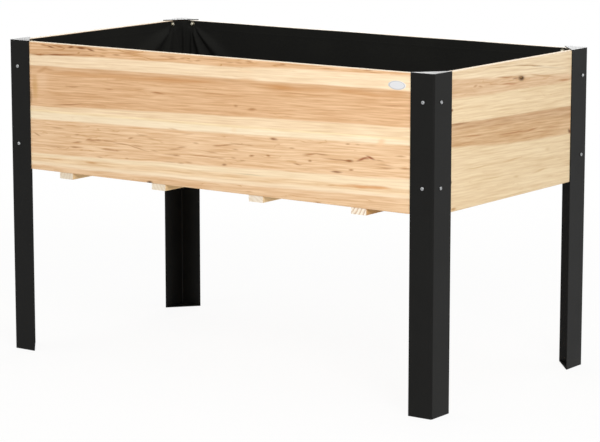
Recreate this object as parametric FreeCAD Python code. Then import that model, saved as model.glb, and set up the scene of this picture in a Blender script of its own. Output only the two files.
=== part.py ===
import FreeCAD, Part
import os

# Raised garden bed: a box of edge-glued fir panels with a hung fabric liner, on four sheet-steel legs.
# X runs along the length, Y from front to back and Z up; the origin is on the ground, under the middle.
# All sizes are in millimetres.

# Overall size, over the steel legs
length = 1200.0
width = 650.0
height = 750.0

# Legs: one sheet folded into an angle, with a triangular plate welded across the top and the foot
leg_long_flange = 60.0
leg_end_flange = 70.0
leg_sheet = 2.0
leg_fold_radius = 2.0
drain_hole_diameter = 6.0
drain_hole_inset = 7.0

# Panels: the end panels cover the ends of the long ones
panel_thickness = 15.0
panel_height = 304.0
panel_butt_gap = 0.3
wood_edge_break = 1.0

# Screws, and the room that each has in its hole
shank_diameter = 4.0
pan_head_diameter = 8.0
pan_head_height = 2.6
pan_rim_height = 0.9
flat_head_diameter = 8.0
flat_head_depth = 2.4
flat_rim_height = 0.4
screw_tip_length = 4.0
screw_clearance = 0.15

# Leg screws: two rows in every flange
# One diagonal pair of legs has them at mid-flange, and the other pair nearer the fold
upper_screw_drop = 60.5
lower_screw_rise = 58.5
long_screw_cover_wide = 11.0
long_screw_cover_narrow = 7.0
end_screw_inset_wide = 28.0
end_screw_inset_narrow = 22.0
leg_screw_tip_cover = 3.0

# Cross slats under the box, and the screws up through their ends
slat_count = 4
slat_width = 40.0
slat_thickness = 15.0
slat_end_setback = 2.0
first_slat_inset = 151.0
last_slat_inset = 178.0
slat_screw_grip = 23.0

# Floor boards on the slats, with drainage gaps between them
floor_board_count = 5
floor_board_thickness = 12.0
floor_board_gap = 6.0
floor_side_gap = 1.5
floor_screw_tip_cover = 3.0

# Fabric liner, hung from eyelets beside each corner
liner_wall = 1.5
liner_gap = 1.2
liner_top_drop = 0.5
liner_corner_radius = 28.0
eyelet_bore_diameter = 5.5
eyelet_barrel_wall = 0.5
eyelet_flange_diameter = 14.0
eyelet_crown = 1.0
eyelet_crown_slope = 0.8
eyelet_washer = 0.7
eyelet_edge_margin = 2.0
liner_screw_tip_cover = 6.0

# Corners, as the signs of X and Y
corners = {
    "front_left": (-1, -1),
    "front_right": (1, -1),
    "back_left": (-1, 1),
    "back_right": (1, 1),
}

# Places that follow from the sizes
panel_top = height - leg_sheet
panel_bottom = panel_top - panel_height
panel_outer_x = length / 2 - leg_sheet
panel_outer_y = width / 2 - leg_sheet
panel_inner_x = panel_outer_x - panel_thickness
panel_inner_y = panel_outer_y - panel_thickness
panel_middle_x = (panel_inner_x + panel_outer_x) / 2
panel_middle_y = (panel_inner_y + panel_outer_y) / 2
slat_bottom = panel_bottom - slat_thickness
slat_half_length = panel_outer_y - slat_end_setback
floor_top = panel_bottom + floor_board_thickness
liner_top = panel_top - liner_top_drop
liner_outer_x = panel_inner_x - liner_gap
liner_outer_y = panel_inner_y - liner_gap
eyelet_z = liner_top - eyelet_edge_margin - eyelet_flange_diameter / 2
eyelet_corner_inset = liner_corner_radius + eyelet_edge_margin + eyelet_flange_diameter / 2
shank_radius = shank_diameter / 2
angle_tolerance = 0.01
up = FreeCAD.Vector(0, 0, 1)
vector = FreeCAD.Vector


def block(low, high):
    """Box between its lowest and highest corners."""
    size = vector(*high) - vector(*low)
    return Part.makeBox(size.x, size.y, size.z, vector(*low))


def prism(edges, bottom, top):
    """Closed flat outline, drawn at height 0, raised between two heights."""
    face = Part.Face(Part.Wire(edges))
    face.translate(up * bottom)
    return face.extrude(up * (top - bottom))


def line(start, end):
    """Straight edge between two points."""
    return Part.LineSegment(start, end).toShape()


def revolve(profile):
    """Ring or pin turned about Z from a closed outline of edges in the XZ plane."""
    return Part.Face(Part.Wire(profile)).revolve(vector(0, 0, 0), up, 360)


def outline(points):
    """Closed chain of straight edges through (radius, height) points."""
    corners_xz = [vector(radius, 0, z) for radius, z in points]
    return [line(a, b) for a, b in zip(corners_xz, corners_xz[1:] + corners_xz[:1])]


def place(shape, point, direction):
    """Copy of a shape drawn along Z, turned to run along a direction from a point."""
    turned = shape.copy()
    turned.Placement = FreeCAD.Placement(point, FreeCAD.Rotation(up, direction))
    return turned


def edges_along(solid, axis):
    """Straight edges of a solid that run along an axis, to within the angle tolerance."""
    return [
        edge for edge in solid.Edges
        if edge.tangentAt(edge.FirstParameter).cross(axis).Length < angle_tolerance
    ]


def eased(solid, axis):
    """Board with every edge along its length chamfered."""
    return solid.makeChamfer(wood_edge_break, edges_along(solid, axis))


def pan_screw(shank_length):
    """Pan-head screw along +Z, with the underside of its head at height 0."""
    head_radius = pan_head_diameter / 2
    crown = vector(0, 0, -pan_head_height)
    rim = vector(head_radius, 0, -pan_rim_height)
    bulge = (pan_head_height - pan_rim_height) / 4
    shoulder = (crown + rim) / 2 + vector(bulge, 0, -bulge)
    sides = [
        vector(head_radius, 0, 0),
        vector(shank_radius, 0, 0),
        vector(shank_radius, 0, shank_length - screw_tip_length),
        vector(0, 0, shank_length),
    ]
    chain = [rim] + sides + [crown]
    edges = [Part.Arc(crown, shoulder, rim).toShape()]
    edges += [line(a, b) for a, b in zip(chain, chain[1:])]
    return revolve(edges)


def pan_screw_hole(shank_length):
    """Clearance hole round the shank of a pan-head screw."""
    return Part.makeCylinder(shank_radius + screw_clearance, shank_length + screw_clearance)


def flat_screw(shank_length, room=0.0):
    """Countersunk screw along +Z from its flush head, or with room round it, the hole for one."""
    return revolve(outline([
        (0, -room),
        (flat_head_diameter / 2 + room, -room),
        (flat_head_diameter / 2 + room, flat_rim_height),
        (shank_radius + room, flat_head_depth),
        (shank_radius + room, shank_length - screw_tip_length + room),
        (0, shank_length + room),
    ]))


def corner_post(inset, reach_x, reach_y, radius, bottom, top):
    """Post in the corner of plus X and plus Y, with its outer upright edge rounded.

    The inset and the reaches are its near and far sides, measured inwards from the faces of the bed.
    """
    far_x = length / 2 - reach_x
    far_y = width / 2 - reach_y
    near_x = length / 2 - inset
    near_y = width / 2 - inset
    bend = vector(near_x - radius, near_y - radius, 0)
    bend_start = bend + vector(radius, 0, 0)
    bend_middle = bend + vector(1, 1, 0).normalize() * radius
    bend_end = bend + vector(0, radius, 0)
    far_corners = [vector(far_x, near_y, 0), vector(far_x, far_y, 0), vector(near_x, far_y, 0)]
    chain = [bend_end] + far_corners + [bend_start]
    edges = [Part.Arc(bend_start, bend_middle, bend_end).toShape()]
    edges += [line(a, b) for a, b in zip(chain, chain[1:])]
    return prism(edges, bottom, top)


def corner_plate(bottom):
    """Triangular plate in the same corner, from one flange end to the other."""
    tip = vector(length / 2, width / 2, 0)
    past_x = leg_long_flange + leg_sheet
    past_y = leg_end_flange + leg_sheet
    points = [tip, tip - vector(past_x, 0, 0), tip - vector(0, past_y, 0)]
    sides = [line(a, b) for a, b in zip(points, points[1:] + points[:1])]
    top = bottom + leg_sheet
    fold_outside = leg_fold_radius + leg_sheet
    post = corner_post(0, leg_long_flange, leg_end_flange, fold_outside, bottom, top)
    return prism(sides, bottom, top).common(post)


def leg_blank():
    """Folded angle with its two plates welded on and the drain hole in the foot, in the same corner."""
    fold_outside = leg_fold_radius + leg_sheet
    past_x = leg_long_flange + leg_sheet
    past_y = leg_end_flange + leg_sheet
    outside = corner_post(0, leg_long_flange, leg_end_flange, fold_outside, 0, height)
    inside = corner_post(leg_sheet, past_x, past_y, leg_fold_radius, 0, height)
    leg = outside.cut(inside).fuse([corner_plate(0), corner_plate(height - leg_sheet)]).removeSplitter()
    drain_x = length / 2 - leg_sheet - drain_hole_inset
    drain_y = width / 2 - leg_sheet - drain_hole_inset
    drain = Part.makeCylinder(drain_hole_diameter / 2, leg_sheet, vector(drain_x, drain_y, 0))
    return leg.cut(drain)


def leg_screw_places(side_x, side_y):
    """Points on the outside of one leg's flanges, each with the way its screw goes in."""
    at_mid_flange = side_x * side_y < 0
    long_cover = long_screw_cover_wide if at_mid_flange else long_screw_cover_narrow
    end_inset = end_screw_inset_wide if at_mid_flange else end_screw_inset_narrow
    places = []
    for z in (panel_top - upper_screw_drop, panel_bottom + lower_screw_rise):
        on_long_side = vector(side_x * (panel_inner_x - long_cover), side_y * width / 2, z)
        on_end_side = vector(side_x * length / 2, side_y * (width / 2 - end_inset), z)
        places.append((on_long_side, vector(0, -side_y, 0)))
        places.append((on_end_side, vector(-side_x, 0, 0)))
    return places


def eyelet_places(side_x, side_y):
    """Points on the inside of the liner beside one corner, each with the way into the panel."""
    beside_x = liner_outer_x - eyelet_corner_inset
    beside_y = liner_outer_y - eyelet_corner_inset
    on_long_side = vector(side_x * beside_x, side_y * (liner_outer_y - liner_wall), eyelet_z)
    on_end_side = vector(side_x * (liner_outer_x - liner_wall), side_y * beside_y, eyelet_z)
    return [(on_long_side, vector(0, side_y, 0)), (on_end_side, vector(side_x, 0, 0))]


def eyelet():
    """Pressed eyelet about Z: crown towards the soil, barrel through the fabric, washer towards the panel."""
    bore = eyelet_bore_diameter / 2
    flange = eyelet_flange_diameter / 2
    barrel = bore + eyelet_barrel_wall
    return revolve(outline([
        (bore, -eyelet_crown + eyelet_barrel_wall),
        (bore + eyelet_barrel_wall, -eyelet_crown),
        (flange - eyelet_crown_slope, -eyelet_crown),
        (flange, 0),
        (barrel, 0),
        (barrel, liner_wall),
        (flange - eyelet_crown_slope, liner_wall),
        (flange - eyelet_crown_slope, liner_wall + eyelet_washer),
        (bore, liner_wall + eyelet_washer),
    ]))


def rounded_bag(half_x, half_y, radius, bottom, top):
    """Upright block with its four upright edges rounded."""
    solid = block((-half_x, -half_y, bottom), (half_x, half_y, top))
    return solid.makeFillet(radius, edges_along(solid, up))


def liner_bag(fabric_holes):
    """Open bag that stands on the floor boards, with a hole for each eyelet."""
    outside = rounded_bag(liner_outer_x, liner_outer_y, liner_corner_radius, floor_top, liner_top)
    inside = rounded_bag(
        liner_outer_x - liner_wall,
        liner_outer_y - liner_wall,
        liner_corner_radius - liner_wall,
        floor_top + liner_wall,
        liner_top,
    )
    return outside.cut(inside).cut(fabric_holes)


def long_panel(side_y):
    """Front or back panel, between the end panels."""
    half_length = panel_inner_x - panel_butt_gap
    near, far = sorted((side_y * panel_inner_y, side_y * panel_outer_y))
    solid = block((-half_length, near, panel_bottom), (half_length, far, panel_top))
    return eased(solid, vector(1, 0, 0))


def end_panel(side_x):
    """Left or right panel, with its outer upright edges cut back to clear the folds of the legs."""
    near, far = sorted((side_x * panel_inner_x, side_x * panel_outer_x))
    solid = block((near, -panel_outer_y, panel_bottom), (far, panel_outer_y, panel_top))
    outer_edges = [edge for edge in edges_along(solid, up) if abs(edge.CenterOfMass.x) > panel_middle_x]
    return eased(solid.makeChamfer(leg_fold_radius, outer_edges), vector(0, 1, 0))


def slat_centres():
    """Places of the slats along the bed, evenly spaced between the first and the last."""
    first = -panel_inner_x + first_slat_inset
    last = panel_inner_x - last_slat_inset
    pitch = (last - first) / (slat_count - 1)
    return [first + pitch * index for index in range(slat_count)]


def floor_rows():
    """Front and back side of each floor board, across the bed."""
    clear_width = 2 * (panel_inner_y - floor_side_gap)
    board_width = (clear_width - floor_board_gap * (floor_board_count - 1)) / floor_board_count
    pitch = board_width + floor_board_gap
    fronts = [-clear_width / 2 + pitch * index for index in range(floor_board_count)]
    return [(front, front + board_width) for front in fronts]


# Where every screw goes
all_leg_places = [pair for signs in corners.values() for pair in leg_screw_places(*signs)]
all_eyelet_places = [pair for signs in corners.values() for pair in eyelet_places(*signs)]
slat_screw_points = [
    vector(x, side_y * panel_middle_y, slat_bottom) for x in slat_centres() for side_y in (-1, 1)
]
floor_screw_points = [
    vector(x, (front + back) / 2, slat_bottom) for x in slat_centres() for front, back in floor_rows()
]

# Length of each kind of screw, from the underside of its head or from its flush face
leg_screw_length = leg_sheet + panel_thickness - leg_screw_tip_cover
liner_screw_length = eyelet_crown + liner_wall + liner_gap + panel_thickness - liner_screw_tip_cover
slat_screw_length = slat_thickness + slat_screw_grip
floor_screw_length = slat_thickness + floor_board_thickness - floor_screw_tip_cover

# A liner screw's head sits on the crown of its eyelet
all_liner_screw_places = [(point - way * eyelet_crown, way) for point, way in all_eyelet_places]

# The screws and eyelets, and the holes that they leave in what they pass through
fasteners = {
    "leg_screws": [place(pan_screw(leg_screw_length), *pair) for pair in all_leg_places],
    "liner_screws": [place(pan_screw(liner_screw_length), *pair) for pair in all_liner_screw_places],
    "slat_screws": [place(flat_screw(slat_screw_length), point, up) for point in slat_screw_points],
    "floor_screws": [place(flat_screw(floor_screw_length), point, up) for point in floor_screw_points],
    "liner_eyelets": [place(eyelet(), *pair) for pair in all_eyelet_places],
}
leg_holes = [place(pan_screw_hole(leg_screw_length), *pair) for pair in all_leg_places]
liner_holes = [place(pan_screw_hole(liner_screw_length), *pair) for pair in all_liner_screw_places]
slat_holes = [place(flat_screw(slat_screw_length, screw_clearance), p, up) for p in slat_screw_points]
floor_holes = [place(flat_screw(floor_screw_length, screw_clearance), p, up) for p in floor_screw_points]
barrel_radius = eyelet_bore_diameter / 2 + eyelet_barrel_wall + screw_clearance
fabric_holes = [place(Part.makeCylinder(barrel_radius, liner_wall), *pair) for pair in all_eyelet_places]


def drilled(solid, holes):
    """Solid with the holes that meet it cut out."""
    met = [hole for hole in holes if hole.BoundBox.intersect(solid.BoundBox)]
    return solid.cut(met) if met else solid


# Every piece of the bed, by name
pieces = {}
first_leg = leg_blank()
for name, (side_x, side_y) in corners.items():
    leg = first_leg
    if side_x < 0:
        leg = leg.mirror(vector(0, 0, 0), vector(1, 0, 0))
    if side_y < 0:
        leg = leg.mirror(vector(0, 0, 0), vector(0, 1, 0))
    pieces["leg_" + name] = drilled(leg, leg_holes)

panel_holes = leg_holes + liner_holes + slat_holes
pieces["front_panel"] = drilled(long_panel(-1), panel_holes)
pieces["back_panel"] = drilled(long_panel(1), panel_holes)
pieces["left_end_panel"] = drilled(end_panel(-1), panel_holes)
pieces["right_end_panel"] = drilled(end_panel(1), panel_holes)

for number, x in enumerate(slat_centres(), start=1):
    slat = block(
        (x - slat_width / 2, -slat_half_length, slat_bottom),
        (x + slat_width / 2, slat_half_length, panel_bottom),
    )
    pieces[f"cross_slat_{number}"] = drilled(eased(slat, vector(0, 1, 0)), slat_holes + floor_holes)

floor_half_length = panel_inner_x - floor_side_gap
for number, (front, back) in enumerate(floor_rows(), start=1):
    board = block((-floor_half_length, front, panel_bottom), (floor_half_length, back, floor_top))
    pieces[f"floor_board_{number}"] = drilled(eased(board, vector(1, 0, 0)), floor_holes)

pieces["liner"] = liner_bag(fabric_holes)
for name, solids in fasteners.items():
    pieces[name] = Part.makeCompound(solids)

os.makedirs("parts", exist_ok=True)
for name, shape in pieces.items():
    shape.exportStep(f"parts/{name}.step")
    print(name, len(shape.Solids), "solids,", round(shape.Volume), "mm3, valid", shape.isValid())
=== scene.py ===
# %% [markdown]
# # A raised garden bed on four folded steel legs
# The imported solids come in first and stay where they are: four legs, four fir panels, the slats and
# boards of the floor, a liner and all the small hardware. Everything below dresses that frame. The
# solids keep their shape and get new finishes, and only the cloth, the screws and the eyelets are
# drawn again, because those need more detail than the solids hold.

# %% Load the frame
import math
from functools import partial

import bmesh
import bpy
import numpy as np
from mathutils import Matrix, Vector


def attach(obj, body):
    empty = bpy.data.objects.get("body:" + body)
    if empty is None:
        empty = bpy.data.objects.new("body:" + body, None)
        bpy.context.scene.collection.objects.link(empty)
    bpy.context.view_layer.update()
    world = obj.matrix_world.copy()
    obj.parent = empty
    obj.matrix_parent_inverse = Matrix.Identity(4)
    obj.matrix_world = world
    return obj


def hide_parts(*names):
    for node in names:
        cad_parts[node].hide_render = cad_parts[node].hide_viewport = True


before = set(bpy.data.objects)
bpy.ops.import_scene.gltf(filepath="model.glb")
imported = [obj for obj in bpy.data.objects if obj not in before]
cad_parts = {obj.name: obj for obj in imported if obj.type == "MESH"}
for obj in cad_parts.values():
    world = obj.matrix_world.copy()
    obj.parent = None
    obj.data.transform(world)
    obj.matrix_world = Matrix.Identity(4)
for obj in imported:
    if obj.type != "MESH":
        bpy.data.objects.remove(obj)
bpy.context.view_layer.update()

# %% [markdown]
# # Camera
# The bed was photographed from its front right corner, a little above the rim, with a long lens.
# The position below came from matching eleven corners of the legs and panels to the picture. There the
# uprights are exactly parallel, which takes a lens shifted so far that the bed would leave the frame in
# any other view. So this camera has no shift, and its long lens keeps the legs nearly upright.

# %% Camera
camera_place = Vector((3.5505, -4.8892, 1.3952))
camera_aim = Vector((-0.57696, 0.79801, -0.17405))
sensor_mm = 36.0
focal_mm = 155.4

lens = bpy.data.cameras.new("studio_camera")
lens.sensor_width = sensor_mm
lens.lens = focal_mm
camera = bpy.data.objects.new("studio_camera", lens)
camera.location = camera_place
camera.rotation_euler = camera_aim.to_track_quat("-Z", "Y").to_euler()
bpy.context.scene.collection.objects.link(camera)
bpy.context.scene.camera = camera
print("camera", focal_mm, "mm at", round(camera_place.length, 2), "m")

# %% [markdown]
# # Shared tools for finishes
# A finish is a small network of nodes. One function adds a node, sets its properties and fills its
# inputs, and gives back an output to use in the next node, so a network reads like a recipe. Colours
# are written as sRGB hex values, the way a paint chart gives them, and one function turns them to the
# linear values that Blender works in. Pattern sizes are written in millimetres.

# %% Node, colour and scale helpers
mode_of = {"Math": "operation", "VectorMath": "operation", "Mix": "data_type"}
mode_of["MapRange"] = "interpolation_type"


def add(tree, kind, inputs=(), out=None, **settings):
    """Adds one node, sets its properties, gives each input a value or a link, and returns the output that
    out names, or else the first one in use. A second word of kind is the node's mode, as in Math MULTIPLY.
    Inputs are a list in the node's own order, or a dict by name or number."""
    kind, _, mode = kind.partition(" ")
    made = tree.nodes.new("ShaderNode" + kind)
    if mode:
        setattr(made, mode_of[kind], mode)
    for name, value in settings.items():
        setattr(made, name, value)
    inputs = inputs if isinstance(inputs, dict) else dict(enumerate(inputs))
    for socket, value in inputs.items():
        if isinstance(value, bpy.types.NodeSocket):
            tree.links.new(value, made.inputs[socket])
        else:
            made.inputs[socket].default_value = value
    return made.outputs[out] if out else next((output for output in made.outputs if output.enabled), None)


def linear(hex_colour):
    """sRGB hex to linear: c / 12.92 up to 0.04045, and ((c + 0.055) / 1.055) to the power 2.4 above it."""
    c = np.array([int(hex_colour[i:i + 2], 16) for i in (1, 3, 5)]) / 255
    rgb = np.where(c <= 0.04045, c / 12.92, ((c + 0.055) / 1.055) ** 2.4)
    return (*rgb.tolist(), 1.0)


def per_mm(*sizes):
    """Mapping scale, on coordinates in metres, for a pattern whose features are these many millimetres."""
    return tuple(1000.0 / size for size in sizes)


def new_finish(name):
    """An empty material, and put, which adds a node to it."""
    finish = bpy.data.materials.new(name)
    finish.use_nodes = True
    finish.node_tree.nodes.clear()
    return finish, partial(add, finish.node_tree)


def dress(finish, *nodes):
    """Gives these CAD nodes one finish."""
    for node in nodes:
        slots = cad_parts[node].data.materials
        slots.clear()
        slots.append(finish)


# %% [markdown]
# # Studio
# The bed stands on a white sweep under large soft lamps. The key is high on the right of the camera,
# about half way between the front and the right end, which is why the front brightens towards its
# right end. A box overhead lights the panels' upper edges, which also carry a painted highlight, and a
# wide box behind the bed skims the steel plates on the legs. The floor and the world show as white to
# the camera and in reflections, while their own light on the bed stays moderate. Near the bed a share of
# the floor stays an ordinary pale surface, which keeps the soft shadow, and further out the floor fades
# into the white world.

# %% World and lamps
ambient_strength = 0.48

world = bpy.data.worlds.new("white_studio")
world.use_nodes = True
world.node_tree.nodes.clear()
bpy.context.scene.world = world


def seen_directly(put):
    """1 for camera, glossy and transmission rays, 0 for the rays that light the bed."""
    camera_ray = put("LightPath")
    rays = camera_ray.node.outputs
    mirrored = put("Math MAXIMUM", [camera_ray, rays["Is Glossy Ray"]])
    return put("Math MAXIMUM", [mirrored, rays["Is Transmission Ray"]])


put = partial(add, world.node_tree)
sky_light = put("Background", {"Color": linear("#FFFEFC"), "Strength": ambient_strength})
sky_seen = put("Background", {"Color": (1, 1, 1, 1), "Strength": 1.0})
sky_mix = put("MixShader", [seen_directly(put), sky_light, sky_seen])
put("OutputWorld", {"Surface": sky_mix})


def softbox(name, place, aim, wide, high, watts):
    """A rectangular lamp at place, facing aim, that the camera doesn't see."""
    lamp = bpy.data.lights.new(name, "AREA")
    lamp.shape = "RECTANGLE"
    lamp.size = wide
    lamp.size_y = high
    lamp.energy = watts
    holder = bpy.data.objects.new(name, lamp)
    holder.location = place
    holder.rotation_euler = (Vector(aim) - Vector(place)).to_track_quat("-Z", "Y").to_euler()
    holder.visible_camera = False
    bpy.context.scene.collection.objects.link(holder)


softbox("key_box", (2.9, -2.6, 2.4), (0.2, -0.1, 0.55), 1.8, 1.6, 98)
softbox("fill_box", (-2.0, -2.8, 3.0), (0.0, 0.0, 0.55), 1.8, 1.4, 13)
softbox("top_box", (0.0, 0.1, 3.2), (0.0, 0.0, 0.7), 2.6, 1.8, 15)
softbox("rim_box", (-1.9, 2.9, 1.55), (0.0, 0.0, 0.75), 2.6, 1.2, 42)
bpy.context.scene.view_settings.view_transform = "Standard"

# %% [markdown]
# # Meshes from grids
# Each new piece is a surface over two parameters: rows of points and columns of points, worked out
# as whole arrays. A grid that closes on itself repeats its first column at the end, and the doubled
# points are merged afterwards, which closes the seam and leaves the texture coordinates unbroken.

# %% Grid helper
def grid_quads(rows, columns, first=0):
    """Quads of a rows by columns grid: corners (i, j), (i, j+1), (i+1, j+1), (i+1, j), counted from first."""
    i, j = np.meshgrid(np.arange(rows - 1), np.arange(columns - 1), indexing="ij")
    corner = first + i * columns + j
    return np.stack([corner, corner + 1, corner + columns + 1, corner + columns], -1).reshape(-1, 4)


def make_piece(name, grids, finish, uv=None):
    """One object at the origin from a list of point grids (rows, columns, 3), in metres. Doubled points are
    merged, and faces are turned outwards and shaded smooth."""
    points = np.concatenate([grid.reshape(-1, 3) for grid in grids])
    firsts = np.cumsum([0] + [grid.shape[0] * grid.shape[1] for grid in grids])
    quads = [grid_quads(*grid.shape[:2], first) for grid, first in zip(grids, firsts)]
    mesh = bpy.data.meshes.new(name)
    mesh.from_pydata(points, [], np.concatenate(quads))
    if uv is not None:
        corners = np.concatenate(quads).reshape(-1)
        mesh.uv_layers.new(name="cloth").data.foreach_set("uv", uv[corners].reshape(-1))
    work = bmesh.new()
    work.from_mesh(mesh)
    bmesh.ops.remove_doubles(work, verts=work.verts, dist=1e-6)
    bmesh.ops.recalc_face_normals(work, faces=work.faces)
    work.to_mesh(mesh)
    work.free()
    mesh.polygons.foreach_set("use_smooth", np.ones(len(mesh.polygons), bool))
    mesh.materials.append(finish)
    piece = bpy.data.objects.new(name, mesh)
    bpy.context.scene.collection.objects.link(piece)
    return piece


def stand_for(piece, node):
    """Lets a piece ride on the bed's one body in the place of a CAD node, which it hides."""
    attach(piece, "root")
    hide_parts(node)


# %% [markdown]
# # Floor
# A sweep is seamless paper: plain and matt, with just enough of its own shading left to hold a shadow.
# Its glow grows from the bed outwards, between the two distances below, until it is all white.

# %% Floor
floor_reach = 30.0
shadow_reach = (1.3, 4.0)
floor_glow = (0.91, 1.0)

sweep, put = new_finish("matt_white_paper_sweep")
paper = put("BsdfDiffuse", {"Color": linear("#F4F3F1")})
glow = put("Emission", {"Color": (1, 1, 1, 1), "Strength": 1.0})
from_middle = put("VectorMath LENGTH", [put("TexCoord", out="Object")])
glow_share = put("MapRange SMOOTHSTEP", [from_middle, *shadow_reach, *floor_glow])
glow_share = put("Math MULTIPLY", [seen_directly(put), glow_share])
put("OutputMaterial", {"Surface": put("MixShader", [glow_share, paper, glow])})

floor_x, floor_y = np.meshgrid(*[np.linspace(-floor_reach, floor_reach, 3)] * 2)
floor = make_piece("paper_sweep", [np.stack([floor_x, floor_y, 0 * floor_x], -1)], sweep)
print("floor", 2 * floor_reach, "m wide")

# %% [markdown]
# # Black powder coat
# The legs are folded from sheet steel and powder coated: the powder melts into a satin skin with a
# faint orange peel, seldom deeper than a few hundredths of a millimetre. Straight on it looks nearly
# black, and at a grazing angle it mirrors the studio, which is why the small plates on top look pale.
# Real orange peel repeats every 1 to 2 mm. That is below a pixel here, so it is drawn at 5 mm.

# %% Powder coat
orange_peel_mm = 5.0
cloudy_mm = 90.0
cloud_range = (0.3, 0.7)
coat_roughness = (0.34, 0.44)

powder_coat, put = new_finish("black_powder_coated_steel")
place = put("TexCoord", out="Object")
peel_at = put("Mapping", {"Vector": place, "Scale": per_mm(*[orange_peel_mm] * 3)})
peel = put("TexNoise", {"Vector": peel_at, "Scale": 1.0, "Detail": 2.0, "Roughness": 0.45})
cloud_at = put("Mapping", {"Vector": place, "Scale": per_mm(*[cloudy_mm] * 3)})
cloud = put("TexNoise", {"Vector": cloud_at, "Scale": 1.0, "Detail": 3.0})
# The coat is a touch thinner and duller in clouds, which moves its gloss a little along the leg.
gloss = put("MapRange", [cloud, *cloud_range, *coat_roughness])
black = put("Mix RGBA", {0: cloud, 6: linear("#111110"), 7: linear("#181817")})
ripple = put("Bump", {"Height": peel, "Strength": 0.10, "Distance": 0.0004})
coat = {"Base Color": black, "Roughness": gloss, "IOR": 1.5, "Specular IOR Level": 0.10, "Normal": ripple}
put("OutputMaterial", {"Surface": put("BsdfPrincipled", coat)})
legs = [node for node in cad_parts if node.startswith("leg_") and node != "leg_screws"]
dress(powder_coat, *legs)
print("powder coat on", legs)

# %% [markdown]
# # Fir panels
# The walls are planed, unvarnished fir. Its heart is tan and its sap is cream, and the two run along
# the panel in long bands that lean a little, because the boards weren't cut quite along the trunk.
# Where the saw met the growth rings flat, they show as short brown flecks and arcs instead of lines.
# An image could show all this, but a worked out pattern stays sharp at any distance: each band has an
# edge that is a shallow curve along the board, growth lines follow its lean, and in the flecked bands a
# slow noise bends the lines until they break up into arcs. Knots and the larger flecks are placed one
# by one, and a short noise makes them wriggle.

# %% Fir panel finish
late_wood = "#DAC5AB"
fleck_brown = "#BC853F"
panel_top_mm = 748.0
wriggle_mm = 3.2
bend_mm = 8.0
mark_core = 0.05
fibre_share, streak_share, line_share = 1.1, 0.6, 0.12
tone_range = (0.66, 1.14)
dash_range = (0.50, 0.62)
# Painted highlight on the panels' upper edges: where it starts below the top, in mm, and how strongly its
# colour is mixed in.
highlight_from_mm, highlight_share = 0.2, 0.92
wood_roughness = (0.66, 0.54)
top_edge_roughness = 0.6
# Name, length along the grain, width across it, in mm, and detail of each noise. A fibre is a few
# hundredths of a millimetre wide, which would never show, so the finest pattern is drawn 3.8 mm wide.
grain_patterns = (
    ("swirl", 130.0, 22.0, 2.0), ("dash", 80.0, 8.0, 1.0), ("wriggle", 42.0, 14.0, 1.0),
    ("bend", 260.0, 60.0, 2.0), ("streak", 240.0, 9.0, 3.0), ("fibre", 95.0, 3.8, 2.0),
)
# Name, ring width in mm, rings that the swirl adds, and the part of a ring from which it darkens.
growth_figures = (("lines", 7.0, 2.2, 0.3), ("arcs", 13.0, 4.5, 0.80))
darkest_at = 0.97


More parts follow.
